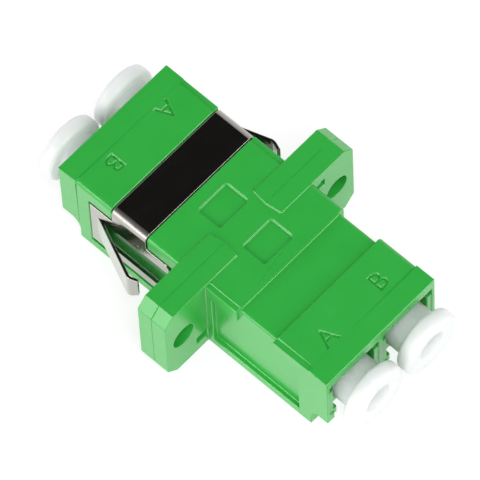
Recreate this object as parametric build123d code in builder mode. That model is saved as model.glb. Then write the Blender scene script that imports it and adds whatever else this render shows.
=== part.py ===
from build123d import *
import os
from math import cos, radians, sin

# Fibre adapter for two pairs of plugs, in millimetres.
# The ports run along Y, the front pair faces -Y, and the underside lies on Z = 0.
# Y = 0 is the seam between the two housing halves, in the middle of the flange.

# Port openings
port_pitch = 6.25
port_width = 4.75
port_height = 4.62
side_wall = 0.8
top_wall = 1.13
floor_wall = 0.8
latch_height = 2.65
latch_width = 3.75
latch_reach = 9.5
end_wall = 1.2

# Mouth of the ports
relief_side = 0.475
relief_height = 0.95
relief_depth = 2.7
rail_setback = 0.1
ledge_setback = 0.25
ledge_length = 2.0
catch_length = 4.6

# Housing body, stations along Y counted from the seam
root_edge = 4.85
clip_band_width = 3.95
plate_length = 5.75
tip_length = 1.9
tip_rise = 0.02
notch_height = 2.5
notch_radius = 1.2
edge_round = 0.45
shoulder_width = 0.54
shoulder_drop = 0.1

# Shallow square pockets on top
pocket_width = 3.4
pocket_length = 2.43
pocket_start = 1.2
pocket_depth = 0.2
pocket_corner = 0.25

# Flange
flange_half = 1.5
flange_rise = 0.1
flange_chamfer = 1.0
flush_half_width = 2.35
flush_flare = 0.2
screw_spacing = 18.0
screw_hole = 2.3
ear_end = 2.0
seam_chamfer = 0.05
root_slot_width = 1.2
root_slot_height = 0.9
root_slot_depth = 0.35
root_slot_inset = 1.2
root_slot_gap = 0.1
align_pin = 0.9
align_pin_length = 0.6
align_clearance = 0.03
align_inset = 0.75

# Panel clip, one folded steel sheet
clip_thickness = 0.3
clip_bend = 0.4
seat_gap = 0.02
seat_round = 0.3
side_gap = 0.22
side_proud = 0.1
band_sink = 0.03
clip_end_gap = 0.1
plate_end_gap = 0.18
clip_tuck = 2.37
rail_front_gap = 0.3
recess_margin = 0.6
cover_lip = 1.7
bottom_lip = 0.85
clip_lift = 0.85
lower_rail = 1.1
upper_rail = 1.2
clip_spine = 0.9
rail_corner = 0.7
left_wing_angle = 23.8
right_wing_angle = 18.5
wing_length = 6.0
foot_angle = 20.0
foot_length = 0.85
wing_bend = 0.8
wing_slit = 0.05
foot_rise = 1.0
foot_run = 2.0

# Split sleeves and the tubes that hold them
sleeve_bore = 1.246
sleeve_wall = 0.187
sleeve_length = 6.6
sleeve_slot = 0.3
sleeve_float = 0.065
sleeve_end_gap = 0.1
plug_room = 0.935
holder_reach = 5.0
holder_lip = 1.44
holder_lead = 0.12

# Dust caps
cap_fit = 0.045
cap_clearance = 0.21
cap_disc_gap = 0.35
cap_disc_thickness = 1.35
cap_stand_off = 1.3
cap_grip = 1.8
cap_floor = 0.8
cap_hollow_wall = 0.75
cap_hollow_depth = 2.2
cap_edge = 0.25
cap_hollow_chamfer = 0.5
cap_lead = 0.25

# Sizes that follow
body_width = port_pitch + port_width + 2 * side_wall
flange_width = screw_spacing + 2 * ear_end
port_axis = floor_wall + latch_height + port_height / 2
port_floor = port_axis - port_height / 2
port_ceiling = port_axis + port_height / 2
body_height = port_ceiling + top_wall
cover_edge = root_edge + clip_band_width
half_length = cover_edge + plate_length
tip_start = half_length - tip_length
recess_depth = clip_thickness + side_gap - side_proud
band_depth = clip_thickness + seat_gap + band_sink
recess_start = flange_half + recess_margin
recess_end = cover_edge + clip_tuck + plate_end_gap
recess_top = body_height - cover_lip
seat_x = body_width / 2 - recess_depth
seat_top = body_height - band_depth
overcut = 1.0
reach = 0.01
sleeve_outer = sleeve_bore + 2 * sleeve_wall
holder_bore = sleeve_outer + 2 * sleeve_float
port_narrow = min(port_width, port_height)
holder_outer = port_narrow - 2 * plug_room
sleeve_seat = sleeve_length / 2 + sleeve_end_gap


def housing_half():
    """One moulded half, ports facing -Y, welded face on Y = 0."""
    with BuildPart() as half:
        # Body with the finger notch under the mouth
        with BuildSketch(Plane.YZ) as side_view:
            with BuildLine():
                Polyline(
                    (0, 0),
                    (-tip_start, 0),
                    (-tip_start, notch_height),
                    (-half_length, notch_height),
                    (-half_length, body_height),
                    (0, body_height),
                    close=True,
                )
            make_face()
            notch_corner = side_view.vertices().sort_by_distance((-tip_start, notch_height))[0]
            fillet(notch_corner, radius=notch_radius)
        extrude(amount=body_width / 2, both=True)

        # Upper edges: rounded on one side, a shallow shoulder along the other
        top_edges = half.edges().filter_by(Axis.Y).group_by(Axis.Z)[-1]
        fillet(top_edges.sort_by(Axis.X)[-1], radius=edge_round)
        with BuildSketch(Plane.XZ):
            with Locations((-body_width / 2, body_height)):
                Rectangle(2 * shoulder_width, 2 * shoulder_drop)
        extrude(amount=tip_start, mode=Mode.SUBTRACT)

        # Square-edged tip, a hair proud of the body
        with BuildSketch(Plane.XZ.offset(tip_start)):
            with BuildLine():
                Polyline(
                    (-body_width / 2 - tip_rise, notch_height),
                    (body_width / 2 + tip_rise, notch_height),
                    (body_width / 2 + tip_rise, body_height + tip_rise),
                    (-body_width / 2 - tip_rise, body_height + tip_rise),
                    close=True,
                )
            make_face()
        extrude(amount=tip_length)

        # Half of the flange, flush with the body only over its middle
        flange_top = body_height + flange_rise
        with BuildSketch(Plane.XZ) as flange_face:
            with Locations((0, flange_top / 2)):
                Rectangle(flange_width, flange_top)
            chamfer(flange_face.vertices(), length=flange_chamfer)
        extrude(amount=flange_half)
        with BuildSketch(Plane.XY.offset(body_height)):
            with BuildLine():
                Polyline(
                    (-flush_half_width, 0),
                    (flush_half_width, 0),
                    (flush_half_width + flush_flare, -flange_half),
                    (-flush_half_width - flush_flare, -flange_half),
                    close=True,
                )
            make_face()
        extrude(amount=flange_rise, mode=Mode.SUBTRACT)
        seam_edges = half.edges().filter_by_position(Axis.Y, -reach, reach)
        seam_ends = seam_edges.filter_by_position(Axis.X, body_width / 2, flange_width)
        seam_ends += seam_edges.filter_by_position(Axis.X, -flange_width, -body_width / 2)
        chamfer(seam_ends, length=seam_chamfer)

        # Seat of the panel clip: a band across the top and a recess in each side
        with BuildSketch(Plane.XY.offset(seat_top)):
            with Locations((0, -(root_edge + cover_edge) / 2)):
                Rectangle(body_width + 2 * overcut, clip_band_width)
        extrude(amount=band_depth + overcut, mode=Mode.SUBTRACT)
        for side in (-1, 1):
            with BuildSketch(Plane.YZ.offset(side * seat_x)):
                with Locations((-(recess_start + recess_end) / 2, (bottom_lip + recess_top) / 2)):
                    Rectangle(recess_end - recess_start, recess_top - bottom_lip)
                with Locations((-(root_edge + cover_edge) / 2, (bottom_lip + body_height) / 2)):
                    Rectangle(clip_band_width, body_height - bottom_lip)
            extrude(amount=side * (recess_depth + overcut), mode=Mode.SUBTRACT)
        seat_edges = half.edges().filter_by(Axis.Y)
        seat_edges = seat_edges.filter_by_position(Axis.Z, seat_top - reach, seat_top + reach)
        fillet(seat_edges, radius=seat_round)

        # Shallow square pocket on top
        with BuildSketch(Plane.XY.offset(body_height - pocket_depth)):
            with Locations((0, -pocket_start - pocket_length / 2)):
                RectangleRounded(pocket_width, pocket_length, pocket_corner)
        extrude(amount=pocket_depth, mode=Mode.SUBTRACT)

        # Two port cavities
        with BuildSketch(Plane.XZ.offset(end_wall)):
            with Locations((0, port_axis)):
                with GridLocations(port_pitch, 1, 2, 1):
                    Rectangle(port_width, port_height)
        extrude(amount=half_length - end_wall, mode=Mode.SUBTRACT)

        # Slot for the latch under each port, wider behind the ledges that hold it
        with BuildSketch(Plane.XZ.offset(half_length - latch_reach)):
            with Locations((0, (floor_wall + port_floor) / 2)):
                with GridLocations(port_pitch, 1, 2, 1):
                    Rectangle(latch_width, port_floor - floor_wall)
        extrude(amount=latch_reach, mode=Mode.SUBTRACT)
        ledge_back = half_length - ledge_setback - ledge_length
        with BuildSketch(Plane.XZ.offset(ledge_back - catch_length)):
            with Locations((0, (floor_wall + port_floor) / 2)):
                with GridLocations(port_pitch, 1, 2, 1):
                    Rectangle(port_width, port_floor - floor_wall)
        extrude(amount=catch_length, mode=Mode.SUBTRACT)
        with BuildSketch(Plane.XZ.offset(half_length - ledge_setback)):
            with Locations((0, (notch_height - overcut + port_floor) / 2)):
                with GridLocations(port_pitch, 1, 2, 1):
                    Rectangle(port_width, port_floor - notch_height + overcut)
        extrude(amount=ledge_setback, mode=Mode.SUBTRACT)

        # Mouth relief: a wide band under the top wall and guide rails set back a little
        relief_width = port_width + 2 * relief_side
        with BuildSketch(Plane.XZ.offset(half_length - relief_depth)):
            with Locations((0, port_ceiling - relief_height / 2)):
                with GridLocations(port_pitch, 1, 2, 1):
                    Rectangle(relief_width, relief_height)
        extrude(amount=relief_depth, mode=Mode.SUBTRACT)
        with BuildSketch(Plane.XZ.offset(half_length - rail_setback)):
            with Locations((0, (port_floor + port_ceiling) / 2)):
                with GridLocations(port_pitch, 1, 2, 1):
                    Rectangle(relief_width, port_height)
        extrude(amount=rail_setback, mode=Mode.SUBTRACT)

        # Holder tubes for the split sleeves
        with BuildSketch(Plane.XZ.offset(end_wall)):
            with Locations((0, port_axis)):
                with GridLocations(port_pitch, 1, 2, 1):
                    Circle(holder_outer / 2)
        extrude(amount=holder_reach - end_wall)
        with BuildSketch(Plane.XZ):
            with Locations((0, port_axis)):
                with GridLocations(port_pitch, 1, 2, 1):
                    Circle(holder_bore / 2)
        extrude(amount=sleeve_seat, mode=Mode.SUBTRACT)
        with BuildSketch(Plane.XZ.offset(sleeve_seat)):
            with Locations((0, port_axis)):
                with GridLocations(port_pitch, 1, 2, 1):
                    Circle(holder_lip / 2)
        extrude(amount=holder_reach - sleeve_seat, mode=Mode.SUBTRACT)
        mouth = half.edges().filter_by(GeomType.CIRCLE)
        mouth = mouth.filter_by_position(Axis.Y, -holder_reach - reach, -holder_reach + reach)
        chamfer(mouth, length=holder_lead)

        # Screw holes in the ears
        with BuildSketch(Plane.XZ):
            with Locations((0, body_height / 2)):
                with GridLocations(screw_spacing, 1, 2, 1):
                    Circle(screw_hole / 2)
        extrude(amount=flange_half, mode=Mode.SUBTRACT)

        # Small pockets at the root of the ears, low on one side and high on the other
        slot_x = body_width / 2 + root_slot_gap + root_slot_width / 2
        with BuildSketch(Plane.XZ.offset(flange_half - root_slot_depth)):
            with Locations((-slot_x, root_slot_inset + root_slot_height / 2)):
                Rectangle(root_slot_width, root_slot_height)
            with Locations((slot_x, body_height - root_slot_inset - root_slot_height / 2)):
                Rectangle(root_slot_width, root_slot_height)
        extrude(amount=root_slot_depth, mode=Mode.SUBTRACT)

        # Alignment pin and socket of the welded face, each the mate of the other half's
        align_x = body_width / 2 + align_inset
        with BuildSketch(Plane.XZ.offset(-align_pin_length)):
            with Locations((-align_x, body_height / 2)):
                Circle(align_pin / 2)
        extrude(amount=align_pin_length)
        with BuildSketch(Plane.XZ):
            with Locations((align_x, body_height / 2)):
                Circle(align_pin / 2 + align_clearance)
        extrude(amount=align_pin_length + align_clearance, mode=Mode.SUBTRACT)
    return half.part


def clip_sheet():
    """Panel clip over the top and sides of the rear half, with its two wings."""
    inner_x = seat_x + side_gap
    outer_x = inner_x + clip_thickness
    inner_z = seat_top + seat_gap
    outer_z = inner_z + clip_thickness
    band_start = root_edge + clip_end_gap
    band_end = cover_edge - clip_end_gap
    plate_start = recess_start + rail_front_gap
    plate_end = cover_edge + clip_tuck
    plate_bottom = bottom_lip + clip_lift
    plate_top = recess_top - clip_end_gap
    window_bottom = plate_bottom + lower_rail
    window_top = plate_top - upper_rail
    window_end = plate_end - clip_spine
    with BuildPart() as clip:
        # Folded strip, as long as its side plates
        with BuildSketch(Plane.XZ.offset(-plate_end)) as strip:
            with BuildLine():
                Polyline(
                    (-outer_x, plate_bottom),
                    (-outer_x, outer_z),
                    (outer_x, outer_z),
                    (outer_x, plate_bottom),
                    (inner_x, plate_bottom),
                    (inner_x, inner_z),
                    (-inner_x, inner_z),
                    (-inner_x, plate_bottom),
                    close=True,
                )
            make_face()
            inner_corners = strip.vertices().filter_by_position(Axis.Y, inner_z - reach, inner_z + reach)
            fillet(inner_corners, radius=clip_bend)
            outer_corners = strip.vertices().filter_by_position(Axis.Y, outer_z - reach, outer_z + reach)
            fillet(outer_corners, radius=clip_bend + clip_thickness)
        extrude(amount=plate_end - plate_start)

        # Side outline of the blank: band in the middle, rails forward, tuck to the rear
        with BuildSketch(Plane.YZ.offset(-outer_x - overcut)) as trim:
            with BuildLine():
                Polyline(
                    (plate_start - overcut, plate_top),
                    (band_start, plate_top),
                    (band_start, outer_z + overcut),
                    (plate_start - overcut, outer_z + overcut),
                    close=True,
                )
            make_face()
            with BuildLine():
                Polyline(
                    (band_end, plate_top),
                    (plate_end + overcut, plate_top),
                    (plate_end + overcut, outer_z + overcut),
                    (band_end, outer_z + overcut),
                    close=True,
                )
            make_face()
            with Locations((window_end, (window_bottom + window_top) / 2)):
                window_size = (window_end - plate_start + overcut, window_top - window_bottom)
                Rectangle(*window_size, align=(Align.MAX, Align.CENTER))
        extrude(amount=2 * (outer_x + overcut), mode=Mode.SUBTRACT)
        front_edges = clip.edges().filter_by(Axis.X).group_by(Axis.Y)[0]
        fillet(front_edges.group_by(Axis.Z)[-1], radius=rail_corner)

        # Wings: sheet lanced from the window, bent outward, with a foot bent back
        mid_x = inner_x + clip_thickness / 2
        wing_height = window_top - window_bottom - 2 * wing_slit
        wing_middle = (window_top + window_bottom) / 2
        for side, wing_angle in ((-1, left_wing_angle), (1, right_wing_angle)):
            tip_x = mid_x + wing_length * sin(radians(wing_angle))
            tip_y = window_end - wing_length * cos(radians(wing_angle))
            foot_x = tip_x - foot_length * sin(radians(foot_angle))
            foot_y = tip_y - foot_length * cos(radians(foot_angle))
            with BuildLine():
                FilletPolyline(
                    (side * mid_x, window_end + clip_spine / 2, wing_middle),
                    (side * mid_x, window_end, wing_middle),
                    (side * tip_x, tip_y, wing_middle),
                    (side * foot_x, foot_y, wing_middle),
                    radius=wing_bend,
                )
            start = Plane(
                origin=(side * mid_x, window_end + clip_spine / 2, wing_middle),
                x_dir=(1, 0, 0),
                z_dir=(0, -1, 0),
            )
            with BuildSketch(start):
                Rectangle(clip_thickness, wing_height)
            sweep()

            # Lower corner of the foot runs up in a curve
            foot_z = wing_middle - wing_height / 2
            with BuildSketch(Plane.YZ.offset(side * outer_x)):
                with BuildLine():
                    low = (foot_y + foot_run, foot_z)
                    high = (foot_y, foot_z + foot_rise)
                    TangentArc(low, high, tangent=(-1, 0))
                    outside = (foot_y - overcut, foot_z - overcut)
                    Polyline(high, (outside[0], high[1]), outside)
                    Polyline(outside, (low[0], outside[1]), low)
                make_face()
            extrude(amount=side * (tip_x + overcut - outer_x), mode=Mode.SUBTRACT)
    return clip.part


def sleeve():
    """Slotted ceramic sleeve on the Y axis, centred on the seam."""
    with BuildPart() as tube:
        with BuildSketch(Plane.XZ.offset(-sleeve_length / 2)):
            Circle(sleeve_outer / 2)
            Circle(sleeve_bore / 2, mode=Mode.SUBTRACT)
            with Locations((0, -sleeve_outer / 2)):
                Rectangle(sleeve_slot, sleeve_outer, mode=Mode.SUBTRACT)
        extrude(amount=sleeve_length)
    return tube.part


def dust_cap():
    """Cap on the Y axis, disc towards -Y, at its place along Y."""
    bore = holder_outer / 2 + cap_fit
    stub = port_narrow / 2 - cap_clearance
    hollow = stub - cap_hollow_wall
    disc = (port_pitch - cap_disc_gap) / 2
    disc_back = -(half_length + cap_stand_off)
    disc_front = disc_back - cap_disc_thickness
    stub_end = -(holder_reach - cap_grip)
    hollow_end = disc_front + cap_hollow_depth
    bore_end = hollow_end + cap_floor
    with BuildPart() as cap:
        with BuildSketch(Plane.XY) as profile:
            with BuildLine():
                Polyline(
                    (0, hollow_end),
                    (hollow, hollow_end),
                    (hollow, disc_front),
                    (disc, disc_front),
                    (disc, disc_back),
                    (stub, disc_back),
                    (stub, stub_end),
                    (bore, stub_end),
                    (bore, bore_end),
                    (0, bore_end),
                    close=True,
                )
            make_face()
            corners = profile.vertices()
            rim = corners.filter_by_position(Axis.X, disc - reach, disc + reach)
            chamfer(rim, length=cap_edge)
            chamfer(corners.sort_by_distance((hollow, hollow_end))[0], length=cap_hollow_chamfer)
            chamfer(corners.sort_by_distance((stub, stub_end))[0], length=cap_lead)
        revolve(axis=Axis.Y)
    return cap.part


def write(solid, name):
    """Label a finished piece and write it to its own file."""
    solid.label = name
    export_step(solid, os.path.join("parts", name + ".step"))


os.makedirs("parts", exist_ok=True)

housing = housing_half()
write(housing, "housing_front")
write(housing.rotate(Axis.Z, 180), "housing_rear")
write(clip_sheet(), "panel_clip")

ceramic = sleeve()
cap_shape = dust_cap()
for channel, x in (("a", -port_pitch / 2), ("b", port_pitch / 2)):
    at_port = Location((x, 0, port_axis))
    write(ceramic.moved(at_port), "split_sleeve_" + channel)
    write(cap_shape.moved(at_port), "dust_cap_front_" + channel)
    write(cap_shape.rotate(Axis.Z, 180).moved(Location((-x, 0, port_axis))), "dust_cap_rear_" + channel)
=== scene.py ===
"""Looks of a duplex fibre adapter: two welded green mouldings, a folded steel clip and four soft caps."""

import logging
import math
from dataclasses import dataclass
from enum import Enum
from typing import Iterable, Sequence

import bmesh
import bpy
from mathutils import Matrix, Vector


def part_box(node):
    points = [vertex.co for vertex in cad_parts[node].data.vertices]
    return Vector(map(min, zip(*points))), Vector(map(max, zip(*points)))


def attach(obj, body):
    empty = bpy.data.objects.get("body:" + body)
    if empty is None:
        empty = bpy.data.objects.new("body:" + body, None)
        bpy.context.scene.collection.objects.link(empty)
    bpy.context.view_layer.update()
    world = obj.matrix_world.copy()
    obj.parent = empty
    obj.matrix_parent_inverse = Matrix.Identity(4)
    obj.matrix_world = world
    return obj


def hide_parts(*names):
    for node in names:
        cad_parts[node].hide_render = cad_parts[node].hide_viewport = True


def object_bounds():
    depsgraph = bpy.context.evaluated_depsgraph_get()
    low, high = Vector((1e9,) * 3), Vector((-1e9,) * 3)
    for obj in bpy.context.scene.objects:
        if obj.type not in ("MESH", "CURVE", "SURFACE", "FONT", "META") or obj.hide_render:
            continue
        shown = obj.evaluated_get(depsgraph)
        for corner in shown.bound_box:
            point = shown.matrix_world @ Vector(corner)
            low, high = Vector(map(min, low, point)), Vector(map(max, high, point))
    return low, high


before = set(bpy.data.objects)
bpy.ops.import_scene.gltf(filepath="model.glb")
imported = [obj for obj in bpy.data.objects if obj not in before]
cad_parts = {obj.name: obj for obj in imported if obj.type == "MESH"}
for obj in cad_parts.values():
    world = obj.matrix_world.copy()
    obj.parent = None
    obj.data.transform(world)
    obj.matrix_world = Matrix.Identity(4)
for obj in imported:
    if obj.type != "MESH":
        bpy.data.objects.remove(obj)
cad_low, cad_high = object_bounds()

log = logging.getLogger("adapter")

MM = 0.001
WELD = 0.002
FLAT = 0.3
SHARP = 32.0
CREASE = 38.0
FOLD = "folded"
SEAM_LIP = 0.055
SLIVER = 0.03
TIP_SLIVER = 0.06
TIP_START = 12.6


class End(Enum):
    """The two ends of the adapter, each with the way its ports face along Y."""

    FRONT = -1
    REAR = 1


class Body(Enum):
    """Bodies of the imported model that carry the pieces."""

    ADAPTER = "adapter"


# Trees of nodes


class Tree:
    """Short calls that build one node tree."""

    def __init__(self, tree: bpy.types.NodeTree) -> None:
        """Args:
            tree: the empty or cleared tree to build in.
        """
        self.tree = tree

    def add(self, kind: str, **settings) -> bpy.types.Node:
        """Adds a node and sets its properties.

        Args:
            kind: the node's type name.
            settings: properties of the node by name.

        Returns:
            The new node.
        """
        node = self.tree.nodes.new(kind)
        for name, value in settings.items():
            setattr(node, name, value)
        return node

    def link(self, source: bpy.types.NodeSocket, target: bpy.types.NodeSocket) -> None:
        """Joins an output to an input."""
        self.tree.links.new(source, target)

    def math(self, operation: str, first, second=None) -> bpy.types.NodeSocket:
        """Adds a Math node.

        Args:
            operation: the node's operation.
            first: a socket or a number.
            second: a socket, a number or nothing.

        Returns:
            The node's output.
        """
        node = self.add("ShaderNodeMath", operation=operation)
        for slot, value in zip(node.inputs, (first, second)):
            if isinstance(value, bpy.types.NodeSocket):
                self.link(value, slot)
            elif value is not None:
                slot.default_value = value
        return node.outputs[0]

    def between(self, mask: bpy.types.NodeSocket, low: float, high: float) -> bpy.types.NodeSocket:
        """Spreads a mask from 0..1 to low..high.

        Returns:
            The spread value.
        """
        node = self.add("ShaderNodeMapRange")
        self.link(mask, node.inputs["Value"])
        node.inputs["To Min"].default_value = low
        node.inputs["To Max"].default_value = high
        return node.outputs["Result"]

    def step(self, mask: bpy.types.NodeSocket, low: float, high: float) -> bpy.types.NodeSocket:
        """Keeps only the peaks of a mask.

        Args:
            mask: the mask.
            low: value that becomes 0.
            high: value that becomes 1.

        Returns:
            The clipped mask.
        """
        node = self.add("ShaderNodeMapRange", interpolation_type="SMOOTHSTEP")
        self.link(mask, node.inputs["Value"])
        node.inputs["From Min"].default_value = low
        node.inputs["From Max"].default_value = high
        return node.outputs["Result"]

    def tint(self, mask: bpy.types.NodeSocket, low: Sequence[float], high: Sequence[float]) -> bpy.types.NodeSocket:
        """Mixes two colours by a mask.

        Returns:
            The mixed colour.
        """
        node = self.add("ShaderNodeMix", data_type="RGBA")
        colour_in = [s for s in node.inputs if s.type == "RGBA"]
        self.link(mask, node.inputs["Factor"])
        colour_in[0].default_value = (*low, 1.0)
        colour_in[1].default_value = (*high, 1.0)
        return next(s for s in node.outputs if s.type == "RGBA")


def surface_grain() -> bpy.types.ShaderNodeTree:
    """Group of uneven surface shared by all finishes: fine grain, slow waves and a cloudy mask.

    Returns:
        The shader node group, with sizes in millimetres.
    """
    group = bpy.data.node_groups.get("surface_grain")
    if group:
        return group
    group = bpy.data.node_groups.new("surface_grain", "ShaderNodeTree")
    sizes = (("Grain Size", 0.1), ("Wave Size", 2.0), ("Cloud Size", 3.0), ("Speck Size", 0.2), ("Stretch", 1.0))
    for name, value in sizes:
        socket = group.interface.new_socket(name, in_out="INPUT", socket_type="NodeSocketFloat")
        socket.default_value = value
    for name in ("Grain", "Wave", "Cloud", "Speck"):
        group.interface.new_socket(name, in_out="OUTPUT", socket_type="NodeSocketFloat")
    tree = Tree(group)
    given = tree.add("NodeGroupInput")
    result = tree.add("NodeGroupOutput")
    place = tree.add("ShaderNodeTexCoord")
    to_mm = tree.add("ShaderNodeVectorMath", operation="SCALE")
    to_mm.inputs["Scale"].default_value = 1 / MM
    tree.link(place.outputs["Object"], to_mm.inputs[0])
    stretch = tree.add("ShaderNodeCombineXYZ")
    stretch.inputs["Y"].default_value = 1.0
    stretch.inputs["Z"].default_value = 1.0
    tree.link(given.outputs["Stretch"], stretch.inputs["X"])
    drawn = tree.add("ShaderNodeVectorMath", operation="MULTIPLY")
    tree.link(to_mm.outputs[0], drawn.inputs[0])
    tree.link(stretch.outputs[0], drawn.inputs[1])
    for name, detail in (("Grain", 2.0), ("Wave", 1.0), ("Cloud", 3.0), ("Speck", 0.0)):
        noise = tree.add("ShaderNodeTexNoise")
        noise.inputs["Detail"].default_value = detail
        tree.link(drawn.outputs[0], noise.inputs["Vector"])
        tree.link(tree.math("DIVIDE", 1.0, given.outputs[name + " Size"]), noise.inputs["Scale"])
        drawn_noise = noise.outputs["Factor" if "Factor" in noise.outputs else 0]
        if name == "Speck":
            drawn_noise = tree.step(drawn_noise, 0.66, 0.78)
        tree.link(drawn_noise, result.inputs[name])
    return group


@dataclass(frozen=True)
class Finish:
    """A surface finish: a Principled surface with grain in its colour, roughness and relief."""

    name: str
    low: tuple[float, float, float]
    high: tuple[float, float, float]
    smooth: float
    rough: float
    grain_size: float
    grain_depth: float
    wave_size: float
    wave_depth: float
    cloud_size: float
    speck_size: float = 0.3
    speck_depth: float = 0.0
    fold_rough: float = 0.0
    metal: float = 0.0
    ior: float = 1.5
    scatter: float = 0.0
    scatter_reach: float = 0.0
    stretch: float = 1.0
    coat: float = 0.0

    def material(self) -> bpy.types.Material:
        """Builds the finish's material once.

        Returns:
            The material.
        """
        made = bpy.data.materials.get(self.name)
        if made:
            return made
        made = bpy.data.materials.new(self.name)
        made.use_nodes = True
        made.node_tree.nodes.clear()
        tree = Tree(made.node_tree)
        out = tree.add("ShaderNodeOutputMaterial")
        surface = tree.add("ShaderNodeBsdfPrincipled")
        tree.link(surface.outputs[0], out.inputs["Surface"])
        grain = tree.add("ShaderNodeGroup")
        grain.node_tree = surface_grain()
        grain.inputs["Grain Size"].default_value = self.grain_size
        grain.inputs["Wave Size"].default_value = self.wave_size
        grain.inputs["Cloud Size"].default_value = self.cloud_size
        grain.inputs["Speck Size"].default_value = self.speck_size
        grain.inputs["Stretch"].default_value = self.stretch
        tree.link(tree.tint(grain.outputs["Cloud"], self.low, self.high), surface.inputs["Base Color"])
        roughness = tree.between(grain.outputs["Cloud"], self.smooth, self.rough)
        if self.fold_rough:
            fold = tree.add("ShaderNodeAttribute", attribute_name=FOLD)
            added = tree.math("MULTIPLY", fold.outputs["Fac"], self.fold_rough - self.rough)
            roughness = tree.math("ADD", roughness, added)
        tree.link(roughness, surface.inputs["Roughness"])
        surface.inputs["Metallic"].default_value = self.metal
        surface.inputs["IOR"].default_value = self.ior
        surface.inputs["Coat Weight"].default_value = self.coat
        surface.inputs["Subsurface Weight"].default_value = self.scatter
        if self.scatter:
            surface.inputs["Subsurface Radius"].default_value = (1.0, 0.95, 0.9)
            surface.inputs["Subsurface Scale"].default_value = self.scatter_reach * MM
        depths = (("Grain", self.grain_depth), ("Wave", self.wave_depth), ("Speck", self.speck_depth))
        parts = [tree.math("MULTIPLY", grain.outputs[name], depth * MM) for name, depth in depths if depth]
        height = parts[0]
        for part in parts[1:]:
            height = tree.math("ADD", height, part)
        bump = tree.add("ShaderNodeBump")
        bump.inputs["Distance"].default_value = 1.0
        tree.link(height, bump.inputs["Height"])
        tree.link(bump.outputs["Normal"], surface.inputs["Normal"])
        return made


MOULDED_GREEN = Finish(
    name="moulded_green", low=(0.030, 0.405, 0.050), high=(0.040, 0.455, 0.066), smooth=0.20, rough=0.30,
    grain_size=0.12, grain_depth=0.0012, wave_size=1.6, wave_depth=0.004, cloud_size=2.5, ior=1.55,
)
NICKEL_STEEL = Finish(
    name="nickel_steel", low=(0.37, 0.355, 0.335), high=(0.43, 0.41, 0.385), smooth=0.11, rough=0.17,
    grain_size=0.10, grain_depth=0.0016, wave_size=1.2, wave_depth=0.002, cloud_size=1.2,
    speck_size=0.22, speck_depth=0.003, fold_rough=0.42, metal=1.0, stretch=0.6,
)
SOFT_WHITE = Finish(
    name="soft_white", low=(0.80, 0.82, 0.825), high=(0.84, 0.86, 0.865), smooth=0.32, rough=0.42,
    grain_size=0.15, grain_depth=0.001, wave_size=1.5, wave_depth=0.003, cloud_size=2.0,
    scatter=1.0, scatter_reach=2.5,
)
FIRED_CERAMIC = Finish(
    name="fired_ceramic", low=(0.80, 0.78, 0.72), high=(0.86, 0.84, 0.79), smooth=0.08, rough=0.16,
    grain_size=0.05, grain_depth=0.0003, wave_size=0.8, wave_depth=0.0006, cloud_size=0.8, ior=2.0,
)


# Meshes


def show(mesh: bpy.types.Mesh, name: str) -> bpy.types.Object:
    """Puts a mesh into the scene as an object at the origin.

    Returns:
        The new object.
    """
    thing = bpy.data.objects.new(name, mesh)
    bpy.context.scene.collection.objects.link(thing)
    return thing


def settle(thing: bpy.types.Object) -> None:
    """Turns an object's modifiers into plain mesh."""
    bpy.context.view_layer.update()
    graph = bpy.context.evaluated_depsgraph_get()
    mesh = bpy.data.meshes.new_from_object(thing.evaluated_get(graph), depsgraph=graph)
    thing.modifiers.clear()
    mesh.name = thing.name
    thing.data = mesh


def to_metres(thing: bpy.types.Object) -> None:
    """Brings a settled piece from millimetres to metres."""
    thing.data.transform(Matrix.Scale(MM, 4))


def cad_copy(node: str, name: str, sliver: float) -> bpy.types.Object:
    """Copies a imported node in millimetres, welded, with its flat faces joined and its sharp edges weighted.

    Args:
        node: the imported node.
        name: the new piece's name.
        sliver: least width of a face whose edges are rounded, in millimetres.

    Returns:
        The copy as an object of its own.
    """
    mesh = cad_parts[node].data.copy()
    mesh.name = name
    mesh.materials.clear()
    mesh.transform(Matrix.Scale(1 / MM, 4))
    shape = bmesh.new()
    shape.from_mesh(mesh)
    bmesh.ops.remove_doubles(shape, verts=shape.verts, dist=WELD)
    bmesh.ops.dissolve_limit(
        shape, angle_limit=math.radians(FLAT), verts=shape.verts, edges=shape.edges, use_dissolve_boundaries=False
    )
    for face in shape.faces:
        face.smooth = True
    weight = shape.edges.layers.float.new("bevel_weight_edge")
    for edge in shape.edges:
        on_seam = all(abs(vert.co.y) < SEAM_LIP for vert in edge.verts)
        sharp = edge.calc_face_angle(0.0) > math.radians(SHARP)
        room = min((face.calc_area() for face in edge.link_faces), default=0.0) / edge.calc_length()
        at_tip = any(abs(vert.co.y) > TIP_START for vert in edge.verts)
        least = TIP_SLIVER if at_tip else sliver
        stubby = any(near.calc_length() < least for vert in edge.verts for near in vert.link_edges)
        edge[weight] = float(sharp and not on_seam and room > least and not stubby)
    plain = bpy.data.meshes.new(name)
    shape.to_mesh(plain)
    shape.free()
    if "custom_normal" in plain.attributes:
        plain.attributes.remove(plain.attributes["custom_normal"])
    return show(plain, name)


@dataclass(frozen=True)
class EdgeBreak:
    """The small radius that tooling leaves on a sharp edge, in millimetres."""

    width: float
    segments: int = 3

    def apply(self, thing: bpy.types.Object) -> None:
        """Adds the rounding of the weighted edges to an object as a modifier."""
        bevel = thing.modifiers.new("edge_break", "BEVEL")
        bevel.limit_method = "WEIGHT"
        bevel.width = self.width
        bevel.segments = self.segments
        bevel.use_clamp_overlap = False
        bevel.miter_outer = "MITER_ARC"


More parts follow.
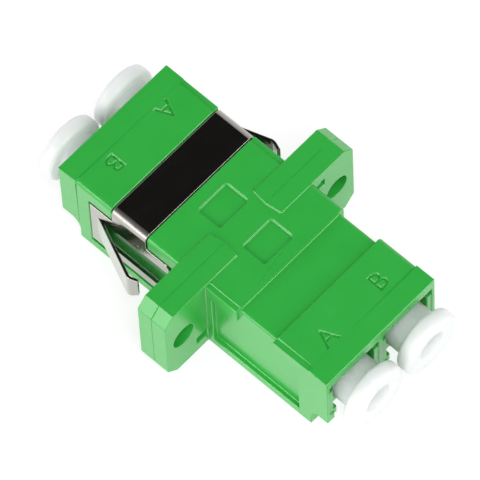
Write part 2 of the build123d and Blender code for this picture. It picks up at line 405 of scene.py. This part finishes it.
def even_shading(thing: bpy.types.Object) -> None:
    """Settles a piece with shading that keeps large faces flat beside their rounded edges."""
    settle(thing)
    thing.data.set_sharp_from_angle(angle=math.radians(CREASE))
    weighted = thing.modifiers.new("even_shading", "WEIGHTED_NORMAL")
    weighted.keep_sharp = True
    weighted.weight = 80
    settle(thing)


def cut(thing: bpy.types.Object, cutters: Iterable[bpy.types.Object]) -> None:
    """Subtracts closed objects from a thing, as modifiers.

    Args:
        thing: the object that is cut.
        cutters: the objects that cut it.
    """
    for cutter in cutters:
        boolean = thing.modifiers.new(cutter.name, "BOOLEAN")
        boolean.operation = "DIFFERENCE"
        boolean.solver = "MANIFOLD"
        boolean.object = cutter


def closed(mesh: bpy.types.Mesh) -> None:
    """Welds a mesh in millimetres into a closed one with its normals outward."""
    shape = bmesh.new()
    shape.from_mesh(mesh)
    bmesh.ops.remove_doubles(shape, verts=shape.verts, dist=WELD / 10)
    bmesh.ops.recalc_face_normals(shape, faces=shape.faces)
    shape.to_mesh(mesh)
    shape.free()


def rod(name: str, start: Vector, stop: Vector, half: float) -> bpy.types.Object:
    """Makes a square rod on its edge, for cutting a fine V-shaped groove.

    Args:
        name: the object's name.
        start: middle of one end.
        stop: middle of the other end.
        half: distance from the middle line to each edge.

    Returns:
        The closed rod.
    """
    along = (stop - start).normalized()
    side = along.orthogonal().normalized()
    other = along.cross(side)
    ring = (side, other, -side, -other)
    points = [place + way * half for place in (start, stop) for way in ring]
    faces = [(3, 2, 1, 0), (4, 5, 6, 7)] + [(i, (i + 1) % 4, (i + 1) % 4 + 4, i + 4) for i in range(4)]
    mesh = bpy.data.meshes.new(name)
    mesh.from_pydata(points, [], faces)
    closed(mesh)
    return show(mesh, name)


def discard(things: Iterable[bpy.types.Object]) -> None:
    """Removes helper objects from the file."""
    for thing in things:
        bpy.data.objects.remove(thing, do_unlink=True)


# Sub-assemblies


@dataclass
class PortLetter:
    """One engraved port letter, in millimetres."""

    text: str
    x: float
    y: float
    cap_height: float = 1.6
    depth: float = 0.12
    flare: float = 0.11
    thinner: float = 0.07
    lip: float = 0.02

    def cutter(self, top: float, end: End) -> bpy.types.Object:
        """Makes the closed solid that engraves the letter.

        Args:
            top: height of the face that is engraved.
            end: the end of the adapter from which the letter is read.

        Returns:
            The cutter, in millimetres.
        """
        curve = bpy.data.curves.new("letter_" + self.text, "FONT")
        curve.body = self.text
        curve.resolution_u = 6
        font = show(curve, "letter_font")
        low, high = self.reach(font)
        curve.size = self.cap_height / (high.y - low.y)
        curve.extrude = self.lip
        curve.bevel_depth = self.flare
        curve.bevel_resolution = 0
        curve.offset = -self.thinner
        low, high = self.reach(font)
        middle = (low + high) / 2
        mesh = bpy.data.meshes.new_from_object(font)
        bpy.data.objects.remove(font, do_unlink=True)
        deeper = self.depth / self.flare
        turn = Matrix.Rotation(math.pi if end is End.REAR else 0.0, 4, "Z")
        mesh.transform(
            Matrix.Translation((self.x, self.y, top)) @ turn
            @ Matrix.Diagonal((1.0, 1.0, deeper, 1.0)) @ Matrix.Translation(-middle)
        )
        closed(mesh)
        return show(mesh, f"cut_{end.name.lower()}_{self.text}")

    def reach(self, font: bpy.types.Object) -> tuple[Vector, Vector]:
        """Measures a text object's box.

        Returns:
            Its lowest and highest corners.
        """
        bpy.context.view_layer.update()
        mesh = bpy.data.meshes.new_from_object(font)
        places = [vert.co.copy() for vert in mesh.vertices]
        bpy.data.meshes.remove(mesh)
        low = Vector(tuple(min(place[i] for place in places) for i in range(3)))
        high = Vector(tuple(max(place[i] for place in places) for i in range(3)))
        return low, high


@dataclass
class Housing:
    """One moulded half of the housing, in millimetres."""

    end: End
    node: str
    letters: tuple[PortLetter, ...]
    edge: EdgeBreak = EdgeBreak(0.055, 1)
    seam_runs: tuple[tuple[float, float], ...] = ((-11.2, -1.08), (1.92, 2.73), (3.05, 5.07), (5.32, 8.9))
    seam_depth: float = 0.04

    def build(self) -> bpy.types.Object:
        """Makes the moulding with its broken edges and engraved letters.

        Returns:
            The finished piece.
        """
        piece = cad_copy(self.node, self.node + "_moulding", SLIVER)
        top = self.top()
        self.edge.apply(piece)
        cutters = [letter.cutter(top, self.end) for letter in self.letters] + self.seam()
        cut(piece, cutters)
        even_shading(piece)
        to_metres(piece)
        discard(cutters)
        piece.data.materials.clear()
        piece.data.materials.append(MOULDED_GREEN.material())
        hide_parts(self.node)
        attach(piece, Body.ADAPTER.value)
        log.info("%s: %d faces", piece.name, len(piece.data.polygons))
        return piece

    def seam(self) -> list[bpy.types.Object]:
        """Makes the rods that open the seam where the weld has left it open.

        Returns:
            The cutters along the flange's top and down its ends.
        """
        low, high = (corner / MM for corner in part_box(self.node))
        depth = self.seam_depth
        rods = [
            rod(f"cut_seam_{i}", Vector((start, 0.0, high.z)), Vector((stop, 0.0, high.z)), depth)
            for i, (start, stop) in enumerate(self.seam_runs)
        ]
        for x in (low.x, high.x):
            rods.append(rod("cut_seam_end", Vector((x, 0.0, low.z - 0.2)), Vector((x, 0.0, high.z + 0.2)), depth))
        return rods

    def top(self) -> float:
        """Height of the face beside the letters."""
        heights = [v.co.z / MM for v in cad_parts[self.node].data.vertices if abs(v.co.y) / MM < 12.0]
        flange = max(heights)
        return max(z for z in heights if z < flange - 0.05)


@dataclass
class PanelClip:
    """The folded steel clip, in millimetres."""

    node: str = "panel_clip"
    edge: EdgeBreak = EdgeBreak(0.09)
    bend: float = 0.7
    blend: float = 0.12

    def build(self) -> bpy.types.Object:
        """Makes the clip with its deburred edges.

        Returns:
            The finished piece.
        """
        piece = cad_copy(self.node, self.node + "_sheet", TIP_SLIVER)
        self.edge.apply(piece)
        even_shading(piece)
        self.mark_folds(piece)
        to_metres(piece)
        piece.data.materials.append(NICKEL_STEEL.material())
        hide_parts(self.node)
        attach(piece, Body.ADAPTER.value)
        log.info("%s: %d faces", piece.name, len(piece.data.polygons))
        return piece

    def mark_folds(self, piece: bpy.types.Object) -> None:
        """Marks the two folds along the band, where bending has dulled the plating."""
        reach = max(abs(v.co.x) for v in piece.data.vertices if v.co.z > self.band_height(piece) - 1.05 * self.bend)
        start, height = reach - self.bend, self.band_height(piece) - self.bend
        marks = piece.data.attributes.new(FOLD, "FLOAT", "POINT")
        marks.data.foreach_set("value", [
            max(0.0, min(1.0, (abs(v.co.x) - start) / self.blend))
            * max(0.0, min(1.0, (v.co.z - height) / self.blend))
            for v in piece.data.vertices
        ])

    def band_height(self, piece: bpy.types.Object) -> float:
        """Height of the band's upper face."""
        return max(v.co.z for v in piece.data.vertices)


@dataclass
class Corner:
    """A corner of a turned profile: radius, place along the axis and rounding, in millimetres."""

    radius: float
    along: float
    rounding: float = 0.0


@dataclass
class TurnedTree:
    """Node tree that turns a half profile about an axis and places the result."""

    name: str = "turned_part"
    ring: float = 1.0

    def tree(self) -> bpy.types.GeometryNodeTree:
        """Builds the tree once.

        Returns:
            The tree, with its sizes as named inputs.
        """
        group = bpy.data.node_groups.get(self.name)
        if group:
            return group
        group = bpy.data.node_groups.new(self.name, "GeometryNodeTree")
        face = group.interface
        face.new_socket("Profile", in_out="INPUT", socket_type="NodeSocketGeometry")
        face.new_socket("Sides", in_out="INPUT", socket_type="NodeSocketInt")
        face.new_socket("Corner Steps", in_out="INPUT", socket_type="NodeSocketInt")
        face.new_socket("Place", in_out="INPUT", socket_type="NodeSocketVector")
        face.new_socket("Tilt", in_out="INPUT", socket_type="NodeSocketFloat")
        face.new_socket("Finish", in_out="INPUT", socket_type="NodeSocketMaterial")
        face.new_socket("Part", in_out="OUTPUT", socket_type="NodeSocketGeometry")
        tree = Tree(group)
        given = tree.add("NodeGroupInput")
        result = tree.add("NodeGroupOutput")
        line = tree.add("GeometryNodeMeshToCurve")
        rounding = tree.add("GeometryNodeInputNamedAttribute", data_type="FLOAT")
        rounding.inputs["Name"].default_value = "rounding"
        fillet = tree.add("GeometryNodeFilletCurve", mode="POLY")
        fillet.inputs["Limit Radius"].default_value = True
        ring = tree.add("GeometryNodeCurvePrimitiveCircle")
        ring.inputs["Radius"].default_value = self.ring
        turned = tree.add("GeometryNodeCurveToMesh")
        welded = tree.add("GeometryNodeMergeByDistance")
        smooth = tree.add("GeometryNodeSetShadeSmooth")
        tilt = tree.add("ShaderNodeCombineXYZ")
        placed = tree.add("GeometryNodeTransform")
        real = tree.add("GeometryNodeRealizeInstances")
        dressed = tree.add("GeometryNodeSetMaterial")
        tree.link(given.outputs["Profile"], line.inputs["Mesh"])
        tree.link(line.outputs[0], fillet.inputs["Curve"])
        tree.link(given.outputs["Corner Steps"], fillet.inputs["Count"])
        tree.link(rounding.outputs["Attribute"], fillet.inputs["Radius"])
        tree.link(given.outputs["Sides"], ring.inputs["Resolution"])
        tree.link(ring.outputs[0], turned.inputs["Curve"])
        tree.link(fillet.outputs[0], turned.inputs["Profile Curve"])
        tree.link(turned.outputs[0], welded.inputs["Geometry"])
        tree.link(welded.outputs[0], smooth.inputs["Geometry"])
        tree.link(smooth.outputs[0], placed.inputs["Geometry"])
        tree.link(given.outputs["Place"], placed.inputs["Translation"])
        tree.link(given.outputs["Tilt"], tilt.inputs["X"])
        tree.link(tilt.outputs[0], placed.inputs["Rotation"])
        tree.link(placed.outputs[0], real.inputs["Geometry"])
        tree.link(real.outputs[0], dressed.inputs["Geometry"])
        tree.link(given.outputs["Finish"], dressed.inputs["Material"])
        tree.link(dressed.outputs[0], result.inputs["Part"])
        return group

    def turn(self, name: str, corners: Sequence[Corner], settings: dict[str, object]) -> bpy.types.Object:
        """Turns a profile about the Z axis and places it.

        Args:
            name: the piece's name.
            corners: the profile's corners in order.
            settings: values of the tree's other inputs by name.

        Returns:
            The piece, still in millimetres and with its modifier.
        """
        points = [(c.radius - self.ring, -c.along, 0.0) for c in corners]
        steps = [(i, i + 1) for i in range(len(points) - 1)]
        mesh = bpy.data.meshes.new(name)
        mesh.from_pydata(points, steps, [])
        rounding = mesh.attributes.new("rounding", "FLOAT", "POINT")
        rounding.data.foreach_set("value", [c.rounding for c in corners])
        piece = show(mesh, name)
        group = self.tree()
        modifier = piece.modifiers.new("turned", "NODES")
        modifier.node_group = group
        sockets = {item.name: item.identifier for item in group.interface.items_tree}
        for label, value in settings.items():
            modifier[sockets[label]] = value
        return piece


@dataclass
class DustCap:
    """A soft cap: a disc with a round hollow and a tubular stub, in millimetres."""

    end: End
    channel: str
    stub_radius: float = 2.1
    bore_radius: float = 1.42
    stub_end: float = 3.2
    disc_thickness: float = 1.35
    hollow_radius: float = 1.35
    hollow_depth: float = 2.2
    floor: float = 0.8
    rim: float = 0.35
    sides: int = 96

    def build(self, turner: TurnedTree) -> bpy.types.Object:
        """Turns the cap about its port's axis.

        Args:
            turner: the tree that turns profiles.

        Returns:
            The finished piece.
        """
        node = f"dust_cap_{self.end.name.lower()}_{self.channel}"
        low, high = (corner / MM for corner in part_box(node))
        disc = (high.x - low.x) / 2
        face = max(abs(low.y), abs(high.y))
        back = face - self.disc_thickness
        hollow = face - self.hollow_depth
        corners = (
            Corner(0.0, hollow),
            Corner(self.hollow_radius, hollow, 0.5),
            Corner(self.hollow_radius, face, 0.14),
            Corner(disc, face, self.rim),
            Corner(disc, back, self.rim),
            Corner(self.stub_radius, back, 0.12),
            Corner(self.stub_radius, self.stub_end, 0.2),
            Corner(self.bore_radius, self.stub_end, 0.1),
            Corner(self.bore_radius, hollow + self.floor, 0.1),
            Corner(0.0, hollow + self.floor),
        )
        centre = (low + high) / 2
        piece = turner.turn(node + "_moulding", corners, {
            "Sides": self.sides,
            "Corner Steps": 5,
            "Place": (centre.x, 0.0, centre.z),
            "Tilt": -self.end.value * math.pi / 2,
            "Finish": SOFT_WHITE.material(),
        })
        settle(piece)
        to_metres(piece)
        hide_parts(node)
        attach(piece, f"cap_{self.end.name.lower()}_{self.channel}")
        log.info("%s: %d faces", piece.name, len(piece.data.polygons))
        return piece


@dataclass
class Sleeves:
    """The two split sleeves, kept as packed and given their finish."""

    nodes: tuple[str, ...] = ("split_sleeve_a", "split_sleeve_b")

    def dress(self) -> None:
        """Gives each sleeve the ceramic finish."""
        for node in self.nodes:
            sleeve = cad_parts[node]
            sleeve.data.materials.clear()
            sleeve.data.materials.append(FIRED_CERAMIC.material())
            log.info("%s: ceramic finish", node)


# Studio


@dataclass
class SoftBox:
    """A soft square lamp, in metres and watts."""

    name: str
    azimuth: float
    elevation: float
    distance: float
    size: float
    power: float
    colour: tuple[float, float, float] = (1.0, 1.0, 1.0)

    def light(self, target: Vector) -> None:
        """Hangs the lamp so that it faces a point.

        Args:
            target: the point that the lamp faces.
        """
        data = bpy.data.lights.new(self.name, "AREA")
        data.shape = "SQUARE"
        data.size = self.size
        data.energy = self.power
        data.color = self.colour
        lamp = bpy.data.objects.new(self.name, data)
        bpy.context.scene.collection.objects.link(lamp)
        turn, rise = math.radians(self.azimuth), math.radians(self.elevation)
        way = Vector((math.sin(turn) * math.cos(rise), -math.cos(turn) * math.cos(rise), math.sin(rise)))
        lamp.location = target + way * self.distance
        lamp.rotation_mode = "QUATERNION"
        lamp.rotation_quaternion = way.to_track_quat("Z", "Y")


@dataclass
class Studio:
    """Pale floor, a white light tent with a dark round opening overhead, and soft lamps."""

    floor_size: float = 3.0
    floor_tone: float = 0.86
    floor_glow: float = 0.5
    tent: float = 1.2
    opening: float = 0.018
    opening_way: tuple[float, float, float] = (-0.14, 0.15, 0.98)
    opening_reach: float = 48.0
    opening_blur: float = 4.0
    lamps: tuple[SoftBox, ...] = (
        SoftBox("left_lamp", -110.5, 19.5, 0.7, 0.27, 1.1),
        SoftBox("side_lamp", -84.0, 25.0, 0.7, 0.25, 0.8),
        SoftBox("front_lamp", 20.0, 20.0, 0.7, 0.25, 0.6),
        SoftBox("top_lamp", -30.0, 64.0, 0.9, 0.35, 3.4),
    )

    def build(self) -> None:
        """Makes the floor, the sky and the lamps."""
        self.floor()
        self.sky()
        middle = (cad_low + cad_high) / 2
        for lamp in self.lamps:
            lamp.light(middle)

    def floor(self) -> None:
        """Makes the floor that the adapter lies on."""
        half = self.floor_size / 2
        mesh = bpy.data.meshes.new("floor")
        mesh.from_pydata([(-half, -half, 0), (half, -half, 0), (half, half, 0), (-half, half, 0)], [], [(0, 1, 2, 3)])
        floor = show(mesh, "floor")
        mesh.transform(Matrix.Translation((0, 0, cad_low.z)))
        made = bpy.data.materials.new("pale_floor")
        made.use_nodes = True
        made.node_tree.nodes.clear()
        tree = Tree(made.node_tree)
        out = tree.add("ShaderNodeOutputMaterial")
        ray = tree.add("ShaderNodeLightPath")
        card = self.lit_card(tree, self.floor_tone, 0.0)
        mirrored = self.lit_card(tree, self.floor_tone, self.floor_glow)
        seen = self.lit_card(tree, 0.35, 0.75)
        direct = tree.math("MAXIMUM", ray.outputs["Is Camera Ray"], ray.outputs["Is Transmission Ray"])
        glossy = tree.add("ShaderNodeMixShader")
        tree.link(ray.outputs["Is Glossy Ray"], glossy.inputs["Fac"])
        tree.link(card, glossy.inputs[1])
        tree.link(mirrored, glossy.inputs[2])
        mix = tree.add("ShaderNodeMixShader")
        tree.link(direct, mix.inputs["Fac"])
        tree.link(glossy.outputs[0], mix.inputs[1])
        tree.link(seen, mix.inputs[2])
        tree.link(mix.outputs[0], out.inputs["Surface"])
        mesh.materials.append(made)

    def lit_card(self, tree: Tree, tone: float, glow: float) -> bpy.types.NodeSocket:
        """Adds a matt surface that may also glow.

        Args:
            tree: the floor's node tree.
            tone: brightness of the surface.
            glow: strength of its own light.

        Returns:
            The shader.
        """
        card = tree.add("ShaderNodeBsdfDiffuse")
        card.inputs["Color"].default_value = (tone, tone, tone, 1.0)
        light = tree.add("ShaderNodeEmission")
        light.inputs["Strength"].default_value = glow
        both = tree.add("ShaderNodeAddShader")
        tree.link(card.outputs[0], both.inputs[0])
        tree.link(light.outputs[0], both.inputs[1])
        return both.outputs[0]

    def sky(self) -> None:
        """Makes the light tent around the object, with its dark opening."""
        world = bpy.data.worlds.new("studio")
        bpy.context.scene.world = world
        world.use_nodes = True
        world.node_tree.nodes.clear()
        tree = Tree(world.node_tree)
        out = tree.add("ShaderNodeOutputWorld")
        place = tree.add("ShaderNodeTexCoord")
        toward = tree.add("ShaderNodeVectorMath", operation="DOT_PRODUCT")
        toward.inputs[1].default_value = Vector(self.opening_way).normalized()
        fade = tree.add("ShaderNodeMapRange", interpolation_type="SMOOTHSTEP")
        fade.inputs["From Min"].default_value = math.cos(math.radians(self.opening_reach + self.opening_blur))
        fade.inputs["From Max"].default_value = math.cos(math.radians(self.opening_reach - self.opening_blur))
        fade.inputs["To Min"].default_value = self.tent
        fade.inputs["To Max"].default_value = self.opening
        back = tree.add("ShaderNodeBackground")
        tree.link(place.outputs["Generated"], toward.inputs[0])
        tree.link(toward.outputs["Value"], fade.inputs["Value"])
        tree.link(fade.outputs["Result"], back.inputs["Strength"])
        tree.link(back.outputs[0], out.inputs["Surface"])


@dataclass
class Camera:
    """The camera at the photograph's angle: place in millimetres, angles in degrees."""

    place: tuple[float, float, float] = (-175.631, -181.383, 483.091)
    azimuth: float = 43.961
    elevation: float = 62.092
    roll: float = -3.554
    lens: float = 507.4

    def build(self) -> None:
        """Makes the camera and hands it to the scene."""
        turn, rise = math.radians(self.azimuth), math.radians(self.elevation)
        ahead = Vector((math.sin(turn) * math.cos(rise), math.cos(turn) * math.cos(rise), -math.sin(rise)))
        level = ahead.cross(Vector((0.0, 0.0, 1.0))).normalized()
        upright = level.cross(ahead)
        lean = math.radians(self.roll)
        right = level * math.cos(lean) + upright * math.sin(lean)
        up = upright * math.cos(lean) - level * math.sin(lean)
        data = bpy.data.cameras.new("camera")
        data.lens = self.lens
        data.clip_start = 0.01
        data.clip_end = 10.0
        camera = bpy.data.objects.new("camera", data)
        bpy.context.scene.collection.objects.link(camera)
        camera.matrix_world = (
            Matrix.Translation(Vector(self.place) * MM)
            @ Matrix((right, up, -ahead)).transposed().to_4x4()
        )
        bpy.context.scene.camera = camera


def main() -> None:
    """Builds every sub-assembly in order and reports each piece."""
    logging.basicConfig(level=logging.INFO, format="%(name)s %(message)s")
    bpy.context.scene.view_settings.view_transform = "Standard"
    Camera().build()
    Studio().build()
    Housing(End.FRONT, "housing_front", (PortLetter("A", -3.12, -11.61), PortLetter("B", 3.31, -11.28))).build()
    Housing(End.REAR, "housing_rear", (PortLetter("A", 3.35, 11.7), PortLetter("B", -3.04, 11.49))).build()
    PanelClip().build()
    turner = TurnedTree()
    for end in End:
        for channel in ("a", "b"):
            DustCap(end, channel).build(turner)
    Sleeves().dress()


if __name__ == "__main__":
    main()
